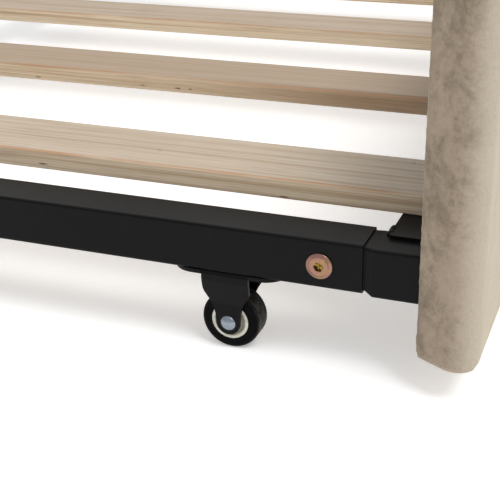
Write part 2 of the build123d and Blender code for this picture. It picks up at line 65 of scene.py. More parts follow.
class Shader:
    """One node material being built: it makes nodes and links them."""

    def __init__(self, name):
        self.material = bpy.data.materials.new(name)
        self.material.use_nodes = True
        self.nodes = self.material.node_tree.nodes
        self.links = self.material.node_tree.links
        self.bsdf = self.nodes["Principled BSDF"]
        coordinates = self.add("ShaderNodeTexCoord")
        self.place = coordinates.outputs["Object"]
        self.normal = coordinates.outputs["Normal"]

    def add(self, kind, **settings):
        node = self.nodes.new(kind)
        for key, value in settings.items():
            setattr(node, key, value)
        return node

    def connect(self, value, socket):
        """Sets a socket to a number or colour, or links it to another node's output."""
        if isinstance(value, bpy.types.NodeSocket):
            self.links.new(value, socket)
        else:
            socket.default_value = value

    def math(self, operation, a, b=0.0):
        node = self.add("ShaderNodeMath", operation=operation)
        for value, socket in zip((a, b), node.inputs):
            self.connect(value, socket)
        return node.outputs[0]

    def total(self, first, *others):
        for value in others:
            first = self.math("ADD", first, value)
        return first

    def times(self, a, b):
        return self.math("MULTIPLY", a, b)

    def minus(self, a, b):
        return self.math("SUBTRACT", a, b)

    def length(self, *parts):
        """The length of a vector given by its parts."""
        return self.math("SQRT", self.total(*(self.math("POWER", part, 2.0) for part in parts)))

    def axes(self, vector=None):
        """The X, Y and Z of a vector, the object's own coordinates unless told otherwise."""
        node = self.add("ShaderNodeSeparateXYZ")
        self.links.new(vector or self.place, node.inputs[0])
        return node.outputs

    def vector(self, x, y, z):
        node = self.add("ShaderNodeCombineXYZ")
        for value, socket in zip((x, y, z), node.inputs):
            self.connect(value, socket)
        return node.outputs[0]

    def stretched(self, scale, offset=(0.0, 0.0, 0.0)):
        """The object's own coordinates, scaled along each axis and then moved."""
        node = self.add("ShaderNodeMapping")
        node.inputs["Scale"].default_value = scale
        node.inputs["Location"].default_value = offset
        self.links.new(self.place, node.inputs["Vector"])
        return node.outputs[0]

    def noise(self, scale, detail=3.0, roughness=0.5, distortion=0.0, vector=None):
        node = self.add("ShaderNodeTexNoise")
        self.connect(vector or self.place, node.inputs["Vector"])
        node.inputs["Scale"].default_value = scale
        node.inputs["Detail"].default_value = detail
        node.inputs["Roughness"].default_value = roughness
        node.inputs["Distortion"].default_value = distortion
        return node.outputs["Fac"]

    def remap(self, value, low, high, to_low=0.0, to_high=1.0):
        node = self.add("ShaderNodeMapRange", interpolation_type="SMOOTHSTEP")
        self.connect(value, node.inputs["Value"])
        limits = {"From Min": low, "From Max": high, "To Min": to_low, "To Max": to_high}
        for key, number in limits.items():
            self.connect(number, node.inputs[key])
        return node.outputs["Result"]

    def mix(self, factor, a, b):
        node = self.add("ShaderNodeMix", data_type="RGBA", blend_type="MIX")
        for value, socket in zip((factor, a, b), (node.inputs[0], node.inputs[6], node.inputs[7])):
            self.connect(value, socket)
        return node.outputs[2]

    def bump(self, height, distance, strength):
        node = self.add("ShaderNodeBump")
        self.connect(height, node.inputs["Height"])
        node.inputs["Distance"].default_value = distance
        node.inputs["Strength"].default_value = strength
        return node.outputs["Normal"]

    def finish(self, **inputs):
        for key, value in inputs.items():
            self.connect(value, self.bsdf.inputs[key.replace("_", " ")])
        return self.material


def rgb(red, green, blue):
    """A colour given in display values from 0 to 255, as the linear colour a shader takes."""

    def linear(value):
        value /= 255
        return value / 12.92 if value <= 0.04045 else ((value + 0.055) / 1.055) ** 2.4

    return (linear(red), linear(green), linear(blue), 1.0)


# ---- materials ---------------------------------------------------------------------------


def powder_coat():
    """Matte black powder coat: a fine orange peel, faint dust, and upper faces painted lighter as if
    lit from above.
    """
    s = Shader("black_powder_coat")
    patches = s.noise(9.0, detail=4.0)
    dust = s.remap(s.noise(55.0, detail=5.0, roughness=0.7), 0.55, 0.85)
    colour = s.mix(dust, rgb(9, 9, 11), rgb(17, 17, 17))
    # Painted light: upper faces are mixed towards a lighter grey, standing in for the light from above.
    painted_top_light = s.remap(s.axes(s.normal)[2], 0.6, 0.95, 0.0, 0.55)
    colour = s.mix(painted_top_light, colour, rgb(40, 39, 38))
    roughness = s.remap(patches, 0.3, 0.7, 0.34, 0.42)
    peel = s.noise(1400.0, detail=2.0)
    normal = s.bump(peel, 0.00010, 0.35)
    return s.finish(Base_Color=colour, Roughness=roughness, Normal=normal, Specular_IOR_Level=0.11)


def black_plastic():
    """Moulded black plastic with a fine spark texture."""
    s = Shader("black_plastic")
    colour = s.mix(s.noise(30.0), rgb(20, 20, 21), rgb(32, 32, 32))
    normal = s.bump(s.noise(2400.0, detail=1.0), 0.0001, 0.6)
    return s.finish(Base_Color=colour, Roughness=0.55, Normal=normal, Specular_IOR_Level=0.3)


# On a corner bolt's head, as radii: the ring of painted shade round its flat crown, where the olive
# band on the rim begins and ends, the recess's edge, and the pitch of the machining marks.
CROWN_RING = 7.9 * MM
RIM_BAND = (9.4 * MM, 10.3 * MM)
RECESS_EDGE = (3.7 * MM, 4.1 * MM)
MACHINING_PITCH = 0.5 * MM


def yellow_zinc():
    """Yellow-passivated zinc: pink, gold and green over machining marks, a ring of painted shade round
    the crown, and the recess gold with painted shade.
    """
    s = Shader("yellow_zinc_steel")
    low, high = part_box("rail_bolts")
    head_radius = (high[2] - low[2]) / 2
    middle_y, middle_z = (low[1] + high[1]) / 2, (low[2] + high[2]) / 2
    spread = (high[1] - low[1]) / 2 - head_radius
    _, y, z = s.axes()
    across = s.minus(s.math("ABSOLUTE", s.minus(y, middle_y)), spread)
    radius = s.length(across, s.minus(z, middle_z))
    drift = s.noise(85.0, detail=2.0, distortion=0.8)
    base = s.mix(s.remap(drift, 0.44, 0.68), rgb(156, 112, 108), rgb(158, 124, 92))
    elsewhere = s.stretched((1, 1, 1), (3, 1, 2))
    green = s.noise(60.0, detail=2.0, distortion=1.5, vector=elsewhere)
    colour = s.mix(s.remap(green, 0.54, 0.72), base, rgb(110, 114, 92))
    ring_and_rim_patches = s.remap(s.noise(140.0, detail=3.0, vector=s.stretched((1, 1, 1), (7, 2, 5))), 0.42, 0.6)
    # A thin ring of painted shade where the flat crown meets the rim, broken into patches.
    off_ring = s.math("ABSOLUTE", s.minus(radius, CROWN_RING))
    ring = s.times(s.remap(off_ring, 0.2 * MM, 1.0 * MM, 0.6, 0.0), ring_and_rim_patches)
    colour = s.mix(ring, colour, rgb(92, 86, 72))
    # An olive-brown band on the rim, in patches.
    colour = s.mix(s.times(s.remap(radius, *RIM_BAND, 0.0, 0.55), ring_and_rim_patches), colour, rgb(120, 108, 74))
    # The recess: its gold tint, mixed in flecks with a dark brown that is painted shade.
    flecks = s.remap(s.noise(520.0, detail=3.0), 0.4, 0.6)
    recess_gold_and_shade = s.mix(flecks, rgb(66, 54, 28), rgb(176, 140, 66))
    colour = s.mix(s.remap(radius, *RECESS_EDGE, 1.0, 0.0), colour, recess_gold_and_shade)
    marks = s.math("SINE", s.times(radius, 2 * math.pi / MACHINING_PITCH))
    normal = s.bump(s.total(s.noise(900.0, detail=3.0), s.times(marks, 0.25)), 0.00006, 0.5)
    roughness = s.remap(s.noise(160.0, detail=4.0), 0.3, 0.7, 0.26, 0.42)
    return s.finish(Base_Color=colour, Metallic=0.92, Roughness=roughness, Normal=normal)


def bright_zinc():
    """Bright zinc plate: bluish silver with a faint cloudy spangle."""
    s = Shader("bright_zinc_steel")
    colour = s.mix(s.noise(140.0, detail=3.0), rgb(160, 168, 176), rgb(124, 136, 149))
    roughness = s.remap(s.noise(220.0, detail=4.0), 0.3, 0.7, 0.22, 0.40)
    normal = s.bump(s.noise(1100.0, detail=2.0), 0.00005, 0.5)
    return s.finish(Base_Color=colour, Metallic=1.0, Roughness=roughness, Normal=normal)


# Small knots and flecks on the slats' faces: x, y, z, half length along the grain, strength.
KNOTS = (
    (-0.9265, -0.075, 0.1180, 6 * MM, 0.8),
    (-0.9265, -0.303, 0.1150, 5 * MM, 0.7),
    (-0.8917, -0.174, 0.1300, 3 * MM, 0.4),
    (-0.8555, -0.394, 0.1300, 2 * MM, 0.5),
    (-0.6735, 0.085, 0.1165, 6 * MM, 0.7),
    (-0.6735, -0.048, 0.1178, 4 * MM, 0.6),
    (-0.6735, -0.090, 0.1180, 5 * MM, 0.9),
    (-0.6735, -0.105, 0.1182, 3 * MM, 0.8),
    (-0.1675, 0.200, 0.1190, 6 * MM, 0.7),
    (0.3385, -0.210, 0.1200, 5 * MM, 0.6),
    (0.6050, 0.120, 0.1300, 5 * MM, 0.5),
    (0.9265, 0.060, 0.1190, 6 * MM, 0.7),
)
DARK_EDGE_X = -0.6735  # the slat's edge that is darker
DARK_EDGE_FADE = (-0.33, -0.06)  # from where to where along Y it fades
RUBBED_EDGE = 39.5 * MM  # from a slat's middle to the middle of its rubbed top edge
KNOT_WIDTH = 1.5 * MM
KNOT_HEIGHT = 1.1 * MM


def pine():
    """Planed softwood along Y: fine straight growth rings and fibres, knots, a rubbed outer edge."""
    s = Shader("pine")
    x, y, z = s.axes()
    slat_low, slat_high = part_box("slat_1")
    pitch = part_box("slat_2")[0][0] - slat_low[0]
    middle = (slat_low[0] + slat_high[0]) / 2
    # Distance across the slat this point is on, and a number for the slat itself.
    steps = s.math("ROUND", s.math("DIVIDE", s.minus(x, middle), pitch))
    across = s.minus(s.minus(x, middle), s.times(steps, pitch))
    own = s.times(steps, 3.7)
    # Growth rings: nearly flat sheets along Y that cross the edge every few millimetres.
    sway = s.noise(1.0, detail=2.0, vector=s.vector(s.times(across, 6.0), s.times(y, 1.6), own))
    depth = s.total(s.times(z, 420.0), s.times(across, 260.0))
    ring_place = s.total(depth, s.times(sway, 4.0), own)
    ring_space = s.vector(ring_place, s.times(y, 0.7), own)
    late_wood = s.remap(s.noise(1.0, detail=3.0, roughness=0.7, vector=ring_space), 0.46, 0.66)
    streak_space = s.stretched((260.0, 2.2, 210.0))
    streaks = s.noise(1.0, detail=4.0, roughness=0.65, vector=streak_space)
    fibre_space = s.stretched((1500.0, 16.0, 1300.0))
    fibres = s.noise(1.0, detail=3.0, roughness=0.6, vector=fibre_space)
    cloud_space = s.vector(s.times(across, 22.0), s.times(y, 4.0), own)
    clouds = s.noise(1.0, detail=3.0, vector=cloud_space)
    colour = s.mix(s.remap(clouds, 0.3, 0.7), rgb(214, 199, 180), rgb(203, 187, 165))
    # Some slats are a duller, warmer brown than others.
    tone = s.math("POWER", s.math("SINE", s.times(steps, 1.9)), 2.0)
    colour = s.mix(tone, colour, rgb(184, 164, 142))
    # The sides are painted lighter, standing in for the light on them, and are warmer, with bolder
    # rings than the top.
    side = s.remap(s.math("ABSOLUTE", s.axes(s.normal)[0]), 0.5, 0.9)
    colour = s.mix(s.times(side, 0.5), colour, rgb(232, 212, 180))
    ring_strength = s.times(late_wood, s.remap(side, 0.0, 1.0, 0.5, 0.75))
    colour = s.mix(ring_strength, colour, rgb(180, 148, 114))
    colour = s.mix(s.remap(streaks, 0.50, 0.70, 0.0, 0.6), colour, rgb(170, 142, 112))
    colour = s.mix(s.remap(fibres, 0.48, 0.72, 0.0, 0.5), colour, rgb(152, 126, 98))
    # Darker along part of one slat's edge, most towards the front panel.
    dark_edge = s.remap(s.math("ABSOLUTE", s.minus(x, DARK_EDGE_X)), 4 * MM, 12 * MM, 1.0, 0.0)
    dark_edge = s.times(dark_edge, s.remap(y, *DARK_EDGE_FADE, 0.62, 0.0))
    colour = s.mix(dark_edge, colour, rgb(128, 96, 66))
    # The outer top edge is rubbed darker and redder, in a broken line.
    off_edge = s.math("ABSOLUTE", s.math("ADD", across, RUBBED_EDGE))
    edge = s.remap(off_edge, 0.4 * MM, 2.4 * MM, 1.0, 0.0)
    top = s.remap(z, slat_high[2] - 3.5 * MM, slat_high[2] - 0.5 * MM)
    broken = s.noise(1.0, detail=3.0, vector=s.stretched((40.0, 9.0, 40.0)))
    rubbed = s.times(s.times(edge, top), s.remap(broken, 0.35, 0.6, 0.25, 0.85))
    colour = s.mix(rubbed, colour, rgb(186, 138, 98))
    # Knots, drawn out along the grain.
    ragged = s.times(s.noise(420.0, detail=3.0), 0.9)
    for knot_x, knot_y, knot_z, half_length, strength in KNOTS:
        off_knot = s.length(
            s.math("DIVIDE", s.minus(x, knot_x), KNOT_WIDTH),
            s.math("DIVIDE", s.minus(y, knot_y), half_length),
            s.math("DIVIDE", s.minus(z, knot_z), KNOT_HEIGHT),
        )
        mask = s.remap(s.total(off_knot, ragged), 0.75, 1.5, strength, 0.0)
        colour = s.mix(mask, colour, rgb(86, 58, 38))
    relief = s.total(s.times(fibres, 0.6), s.times(late_wood, 0.4))
    roughness = s.remap(streaks, 0.3, 0.7, 0.52, 0.66)
    normal = s.bump(relief, 0.00018, 0.5)
    return s.finish(Base_Color=colour, Roughness=roughness, Normal=normal, Specular_IOR_Level=0.3)


def nylon():
    """Off-white moulded nylon, a little grey in random patches."""
    s = Shader("white_nylon")
    greyed = s.remap(s.noise(120.0, detail=4.0), 0.4, 0.7)
    colour = s.mix(greyed, rgb(222, 217, 202), rgb(192, 185, 168))
    normal = s.bump(s.noise(1300.0, detail=2.0), 0.00006, 0.5)
    return s.finish(Base_Color=colour, Roughness=0.42, Normal=normal, Subsurface_Weight=0.1)


def tyre_rubber():
    """Black polyurethane tyre: dark smooth walls and a tread scuffed and dusty along its run, with
    painted glints on the tread.
    """
    s = Shader("black_tyre")
    side = s.math("ABSOLUTE", s.axes(s.normal)[0])
    tread = s.remap(side, 0.25, 0.85, 1.0, 0.03)
    scuffs = s.noise(1.0, detail=5.0, roughness=0.65, vector=s.stretched((420.0, 110.0, 110.0)))
    dust = s.times(s.remap(scuffs, 0.36, 0.66), tread)
    colour = s.mix(dust, rgb(4, 4, 5), rgb(72, 69, 65))
    # Light specks on the tread are painted glints of gloss.
    painted_glint_specks = s.remap(s.noise(900.0, detail=2.0, roughness=0.6), 0.68, 0.76)
    colour = s.mix(s.times(painted_glint_specks, tread), colour, rgb(176, 172, 166))
    roughness = s.remap(s.noise(260.0, detail=4.0), 0.3, 0.7, 0.34, 0.52)
    normal = s.bump(s.noise(700.0, detail=4.0), 0.00012, 0.5)
    return s.finish(Base_Color=colour, Roughness=roughness, Normal=normal, Specular_IOR_Level=0.05)


def velvet():
    """Beige velvet: a short pile with sheen over a fine weave, mottled darker in patches, with the
    front painted lighter and the ends painted in shade.
    """
    s = Shader("beige_velvet")
    _, y, z = s.axes()
    # The faces towards the front are painted lighter and less mottled: painted light and sheen on the
    # front, painted shade on the ends, the top and the underside.
    front = s.remap(s.times(s.axes(s.normal)[1], -1.0), -0.42, 0.95)
    broad = s.noise(13.0, detail=3.0, roughness=0.6, distortion=0.5)
    middle = s.noise(48.0, detail=4.0, roughness=0.65, distortion=0.4)
    small = s.noise(170.0, detail=4.0, roughness=0.75)
    # The mottling is heavier towards the top and towards the back edge.
    height = s.remap(z, 0.16, 0.33, 0.0, 0.04)
    near_back = s.remap(y, -0.460, -0.436, 0.0, 0.02)
    blotch = s.total(s.times(broad, 0.36), s.times(middle, 0.37), s.times(small, 0.27))
    blotch = s.total(blotch, height, near_back)
    # The dark mottling: patches in the nap, made much stronger away from the front as painted shade.
    mottle_and_painted_shade = s.times(s.remap(blotch, 0.44, 0.68), s.remap(front, 0.0, 1.0, 0.85, 0.10))
    light = s.remap(blotch, 0.34, 0.46, 0.5, 0.0)
    # The ends' colours are darkened as painted shade, and the front's lighter colour is painted light.
    colour = s.mix(light, rgb(162, 146, 129), rgb(174, 159, 142))
    colour = s.mix(front, colour, rgb(178, 168, 151))
    colour = s.mix(mottle_and_painted_shade, colour, rgb(104, 93, 76))
    columns = s.noise(1.0, detail=2.0, vector=s.stretched((1300.0, 1300.0, 240.0)))
    rows = s.noise(1.0, detail=2.0, vector=s.stretched((300.0, 300.0, 1300.0)))
    weave = s.times(s.total(columns, rows), 0.5)
    colour = s.mix(s.remap(weave, 0.36, 0.64, 0.16, 0.0), colour, rgb(110, 97, 80))
    pile = s.noise(2600.0, detail=2.0, roughness=0.7)
    relief = s.total(s.times(weave, 0.7), s.times(pile, 0.3))
    normal = s.bump(relief, 0.0003, 0.45)
    return s.finish(
        Base_Color=colour,
        Roughness=0.92,
        Normal=normal,
        Specular_IOR_Level=0.08,
        Sheen_Weight=0.30,
        Sheen_Roughness=0.45,
        Sheen_Tint=rgb(245, 236, 216),
    )


def felt():
    """Black non-woven lining cloth."""
    s = Shader("black_felt")
    fibres = s.noise(1500.0, detail=3.0, roughness=0.8)
    colour = s.mix(fibres, rgb(22, 22, 23), rgb(52, 51, 50))
    return s.finish(Base_Color=colour, Roughness=0.95, Normal=s.bump(fibres, 0.0003, 0.6))


def chipboard():
    """Raw chipboard."""
    s = Shader("chipboard")
    chips = s.noise(160.0, detail=5.0, roughness=0.8)
    colour = s.mix(chips, rgb(150, 122, 86), rgb(205, 178, 138))
    return s.finish(Base_Color=colour, Roughness=0.85, Normal=s.bump(chips, 0.0004, 0.5))


def foam():
    """Upholstery foam."""
    s = Shader("foam")
    cells = s.noise(900.0, detail=2.0)
    colour = s.mix(cells, rgb(222, 212, 170), rgb(240, 233, 200))
    return s.finish(Base_Color=colour, Roughness=0.95, Normal=s.bump(cells, 0.0004, 0.6))


materials = {
    "black_powder_coat": powder_coat(),
    "black_plastic": black_plastic(),
    "yellow_zinc_steel": yellow_zinc(),
    "bright_zinc_steel": bright_zinc(),
    "pine": pine(),
    "white_nylon": nylon(),
    "black_tyre": tyre_rubber(),
    "beige_velvet": velvet(),
    "foam": foam(),
    "chipboard": chipboard(),
    "black_felt": felt(),
}

slot_of_node = {row["node"]: row["material_slot"] for row in frame["record"]["subparts"]}
for node_name, node_object in frame["nodes"].items():
    for material_slot in node_object.material_slots:
        material_slot.material = materials[slot_of_node[node_name]]


# ---- pieces made here --------------------------------------------------------------------


def smooth_shading(mesh):
    mesh.polygons.foreach_set("use_smooth", [True] * len(mesh.polygons))


def make_piece(name, vertices, faces, slot_name):
    """A smooth mesh piece in one of the record's finishes."""
    mesh = bpy.data.meshes.new(name)
    mesh.from_pydata([tuple(point) for point in vertices], [], faces)
    mesh.validate()
    mesh.materials.append(materials[slot_name])
    piece = bpy.data.objects.new(name, mesh)
    scene.collection.objects.link(piece)
    built = bmesh.new()
    built.from_mesh(mesh)
    bmesh.ops.recalc_face_normals(built, faces=built.faces)
    built.to_mesh(mesh)
    built.free()
    smooth_shading(mesh)
    return piece


def loft_faces(ring_count, sides):
    """Faces between rings of vertices listed one after another, and across both ends."""
    faces = []
    for ring in range(ring_count - 1):
        base = ring * sides
        for step in range(sides):
            following = (step + 1) % sides
            faces.append((base + step, base + following, base + sides + following, base + sides + step))
    last = (ring_count - 1) * sides
    faces.append(tuple(range(sides)))
    faces.append(tuple(last + step for step in range(sides)))
    return faces


def circle(centre, side, up, radius, sides):
    """The corners of a regular polygon round a centre, in the plane of two unit vectors."""
    turns = [2 * math.pi * step / sides for step in range(sides)]
    return [centre + (side * math.cos(turn) + up * math.sin(turn)) * radius for turn in turns]


def append_mesh(vertices, faces, part):
    """Adds a part, its vertices and faces, to longer lists of them."""
    part_vertices, part_faces = part
    faces += [tuple(len(vertices) + index for index in face) for face in part_faces]
    vertices += part_vertices


def get_points(mesh, kind="co"):
    """A mesh's vertices, or their normals, as rows of an array."""
    values = np.empty(3 * len(mesh.vertices), dtype=np.float32)
    mesh.vertices.foreach_get(kind, values)
    return values.reshape(-1, 3).astype(float)


def set_points(mesh, points):
    mesh.vertices.foreach_set("co", points.astype(np.float32).ravel())
    mesh.update()


def apply_modifiers(piece):
    """Makes a piece's modifiers part of its mesh."""
    graph = bpy.context.evaluated_depsgraph_get()
    finished = bpy.data.meshes.new_from_object(piece.evaluated_get(graph))
    piece.modifiers.clear()
    old = piece.data
    piece.data = finished
    bpy.data.meshes.remove(old)


# ---- the upholstered panel ---------------------------------------------------------------

cover_low, cover_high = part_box("panel_cover")
lining_low, lining_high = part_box("panel_lining")
stub_low, stub_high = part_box("front_left_stub")
rail_low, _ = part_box("left_end_rail")

PANEL_SPLAY = math.tan(math.radians(28.5))  # how far the ends lean out towards the front
PANEL_OVERHANG = 7.5 * MM  # of the back corner past the end rail
NOSE_RADIUS = 16 * MM
BACK_CORNER = 4 * MM
LEAST_CORNER = 0.5 * MM
PANEL_RIM = 1.6 * MM
CORNER_STEPS = 8
RIM_STEPS = 4
START_INSET = 1.6 * MM  # the padding swells, so it starts smaller
SWELL_CAP = 2.6 * MM  # the most that a point moves
SWELL_FRAMES = 20
BLEND_POINTS = 5
BLEND_REACH = 1 * MM
RIM_LOSS = 1.8 * MM  # how much the round rim takes off the top and the bottom
FRONT_LOSS = 0.8 * MM  # and off the front
CLOTH_VOXEL = 6 * MM
FINE_VOXEL = 3.8 * MM
LUMP_HEIGHT = 0.35 * MM
LUMP_SCALE = (14, 20, 14)
FOLD_REACH = 30 * MM
FOLD_DEPTH = 0.5 * MM
FOLD_BAND = 3 * MM  # how near the panel's back the folds are
FOLD_COUNT = 12  # in a whole turn round a corner

hem_y = cover_high[1]
panel_front_y = cover_low[1]
panel_bottom, panel_top = cover_low[2], cover_high[2]
panel_middle_z = (panel_bottom + panel_top) / 2
panel_end_x = -rail_low[0] + PANEL_OVERHANG


def panel_outline(inset):
    """The panel's outline seen from above, with rounded corners, moved in by the inset."""
    slant = inset * math.sqrt(1 + PANEL_SPLAY**2)

    def end_x(y):
        return panel_end_x + PANEL_SPLAY * (hem_y - y) - slant

    front, back = panel_front_y + inset, hem_y - inset
    corners = (
        (Vector((-end_x(back), back)), BACK_CORNER),
        (Vector((-end_x(front), front)), NOSE_RADIUS),
        (Vector((end_x(front), front)), NOSE_RADIUS),
        (Vector((end_x(back), back)), BACK_CORNER),
    )
    points = []
    for index, (corner_point, radius) in enumerate(corners):
        radius = max(radius - inset, LEAST_CORNER)
        before = (corners[index - 1][0] - corner_point).normalized()
        after = (corners[(index + 1) % 4][0] - corner_point).normalized()
        half_angle = before.angle(after) / 2
        reach = radius / math.tan(half_angle)
        centre = corner_point + (before + after).normalized() * (radius / math.sin(half_angle))
        start = corner_point + before * reach - centre
        turn = start.angle_signed(corner_point + after * reach - centre)
        for step in range(CORNER_STEPS + 1):
            # angle_signed counts clockwise, and the turn below anticlockwise.
            angle = -turn * step / CORNER_STEPS
            cosine, sine = math.cos(angle), math.sin(angle)
            turned = (start.x * cosine - start.y * sine, start.x * sine + start.y * cosine)
            points.append(centre + Vector(turned))
    return points


def panel_block(name):
    """The panel's padded block before it swells: stacked outlines with rounded rims."""
    levels = []
    for step in range(RIM_STEPS + 1):
        turn = math.pi / 2 * step / RIM_STEPS
        levels.append((PANEL_RIM * (1 - math.sin(turn)), PANEL_RIM * (1 - math.cos(turn))))
    bottom = [(panel_bottom + START_INSET + rise, inset) for inset, rise in levels]
    top = [(panel_top - START_INSET - rise, inset) for inset, rise in reversed(levels)]
    vertices = []
    for z, inset in bottom + top:
        vertices += [(point.x, point.y, z) for point in panel_outline(START_INSET + inset)]
    ring_count = len(bottom + top)
    faces = loft_faces(ring_count, len(vertices) // ring_count)
    return make_piece(name, vertices, faces, "beige_velvet")


def even_mesh(piece, voxel):
    """Gives a closed piece an even mesh of quads about a voxel across."""
    remesh = piece.modifiers.new("even", "REMESH")
    remesh.mode = "VOXEL"
    remesh.voxel_size = voxel
    remesh.use_smooth_shade = True
    apply_modifiers(piece)


def simulated_swell():
    """Where the cover starts and how far each point moves, when the padding blows it out.

    It is held flat along its back, and no point moves further than the cap.
    """
    piece = panel_block("swelling_cover")
    even_mesh(piece, CLOTH_VOXEL)
    start = get_points(piece.data)
    held = piece.vertex_groups.new(name="held")
    held.add(np.flatnonzero(start[:, 1] > hem_y - START_INSET - 1 * MM).tolist(), 1.0, "REPLACE")
    cloth = piece.modifiers.new("cloth", "CLOTH")
    settings = cloth.settings
    settings.quality = 4
    settings.mass = 0.35
    settings.tension_stiffness = 30
    settings.compression_stiffness = 20
    settings.shear_stiffness = 10
    settings.bending_stiffness = 1.2
    settings.use_pressure = True
    settings.uniform_pressure_force = 4.0
    settings.vertex_group_mass = "held"
    settings.effector_weights.gravity = 0.0
    cloth.collision_settings.use_collision = False
    cloth.point_cache.frame_start = 1
    cloth.point_cache.frame_end = SWELL_FRAMES
    for step in range(1, SWELL_FRAMES + 1):
        scene.frame_set(step)
    graph = bpy.context.evaluated_depsgraph_get()
    moved = get_points(piece.evaluated_get(graph).data) - start
    scene.frame_set(1)
    bpy.data.objects.remove(piece)
    lengths = np.linalg.norm(moved, axis=1, keepdims=True)
    return start, moved * np.minimum(1.0, SWELL_CAP / np.maximum(lengths, 1e-9))


def carried_over(start, moved, points):
    """The moves of the nearest simulated points, blended at each point of a finer mesh."""
    tree = kdtree.KDTree(len(start))
    for index, point in enumerate(start):
        tree.insert(point, index)
    tree.balance()
    result = np.zeros_like(points)
    for index, point in enumerate(points):
        found = tree.find_n(point, BLEND_POINTS)
        weights = np.array([1.0 / (distance + BLEND_REACH) ** 2 for _, _, distance in found])
        result[index] = weights @ moved[[near for _, near, _ in found]] / weights.sum()
    return result


def upholster():
    """The padded panel: a fine even mesh, swollen as the simulated cover is, and its folds."""
    panel = panel_block("upholstered_panel")
    even_mesh(panel, FINE_VOXEL)
    points = get_points(panel.data)
    normals = get_points(panel.data, "normal")
    swelling = START_INSET
    moves = carried_over(*simulated_swell(), points)
    # The cover is stapled taut over a stiff board: its edges fill the panel's box, and
    # only its faces stand proud of it.
    swelling = np.clip((moves * normals).sum(axis=1, keepdims=True), START_INSET, SWELL_CAP)
    points += normals * swelling
    # The round rim draws the outline in, so the depth and height are let out to match.
    points[:, 1] = hem_y + (points[:, 1] - hem_y) * (1 + FRONT_LOSS / (hem_y - panel_front_y))
    rise = (points[:, 2] - panel_middle_z) * (1 + 2 * RIM_LOSS / (panel_top - panel_bottom))
    points[:, 2] = panel_middle_z + rise
    set_points(panel.data, points)
    # Small dents and rises where the padding is not quite even.
    spread = points * LUMP_SCALE + (0, 0, SEED)
    lumps = [noise.noise(Vector(place)) for place in spread]
    points += get_points(panel.data, "normal") * (LUMP_HEIGHT * np.array(lumps)[:, None])
    # Folds that fan out over each back corner, under the edge of the lining.
    out_x = np.abs(points[:, 0]) - (panel_end_x - FOLD_REACH)
    out_z = np.abs(points[:, 2] - panel_middle_z) - ((panel_top - panel_bottom) / 2 - FOLD_REACH)
    folded = (points[:, 1] > hem_y - FOLD_BAND) & (out_x > 0) & (out_z > 0)
    ridges = np.maximum(0.0, np.cos(FOLD_COUNT * np.arctan2(out_z, out_x)))
    ridges *= np.minimum(1.0, np.hypot(out_x, out_z) / FOLD_REACH)
    points[:, 1] += np.where(folded, FOLD_DEPTH * ridges, 0.0)
    points[:, 1] = np.minimum(points[:, 1], hem_y + FOLD_DEPTH)
    set_points(panel.data, points)
    panel.data.materials.clear()
    panel.data.materials.append(materials["beige_velvet"])
    smooth_shading(panel.data)
    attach(panel, "bed")
    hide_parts("panel_cover", "panel_foam")


upholster()

# ---- lining and its staples --------------------------------------------------------------

LINING_STEP = 10 * MM
LINING_THICKNESS = 0.5 * MM
LINING_GAP = 0.05 * MM
LINING_LIFT = 0.12 * MM  # over the cover's back
RIPPLE_HEIGHT = 0.10 * MM
RIPPLE_SCALE = 30
SCALLOP = 0.9 * MM  # how far the long edges are drawn in between staples
TUCK = 0.6 * MM  # how far every other row of the short edges is
STAPLE_PITCH = 60 * MM
STAPLE_INSET = 7 * MM
STAPLE_TILT = 0.12
STAPLE_DENT = 0.10 * MM
STAPLE_DENT_REACH = 9 * MM
STAPLE_LENGTH = 11 * MM
STAPLE_WIRE = 0.5 * MM
STAPLE_BEND = 0.5 * MM
STAPLE_BITE = 2.0 * MM  # how deep the modelled ends go
STAPLE_LIFT = 0.95 * MM  # of a crown's middle over the cover's back
FRAME_MARGIN = 12 * MM  # round the frame, where staples are hidden and left out
FRAME_REACH = 40 * MM  # above the stubs' tops
WIRE_SIDES = 6

lining_length = lining_high[0] - lining_low[0]
lining_height = lining_high[2] - lining_low[2]


def staple_places():
    """Where the staples go, round the lining's edge: x, z and the angle of each."""
    places = []
    along = round(lining_length / STAPLE_PITCH)
    up = round(lining_height / STAPLE_PITCH)
    for index in range(along + 1):
        x = lining_low[0] + STAPLE_INSET + (lining_length - 2 * STAPLE_INSET) * index / along
        for z in (lining_low[2] + STAPLE_INSET, lining_high[2] - STAPLE_INSET):
            places.append((x, z, random.gauss(0, STAPLE_TILT)))
    for index in range(1, up):
        z = lining_low[2] + lining_height * index / up
        for x in (lining_low[0] + STAPLE_INSET, lining_high[0] - STAPLE_INSET):
            places.append((x, z, math.pi / 2 + random.gauss(0, STAPLE_TILT)))
    return places


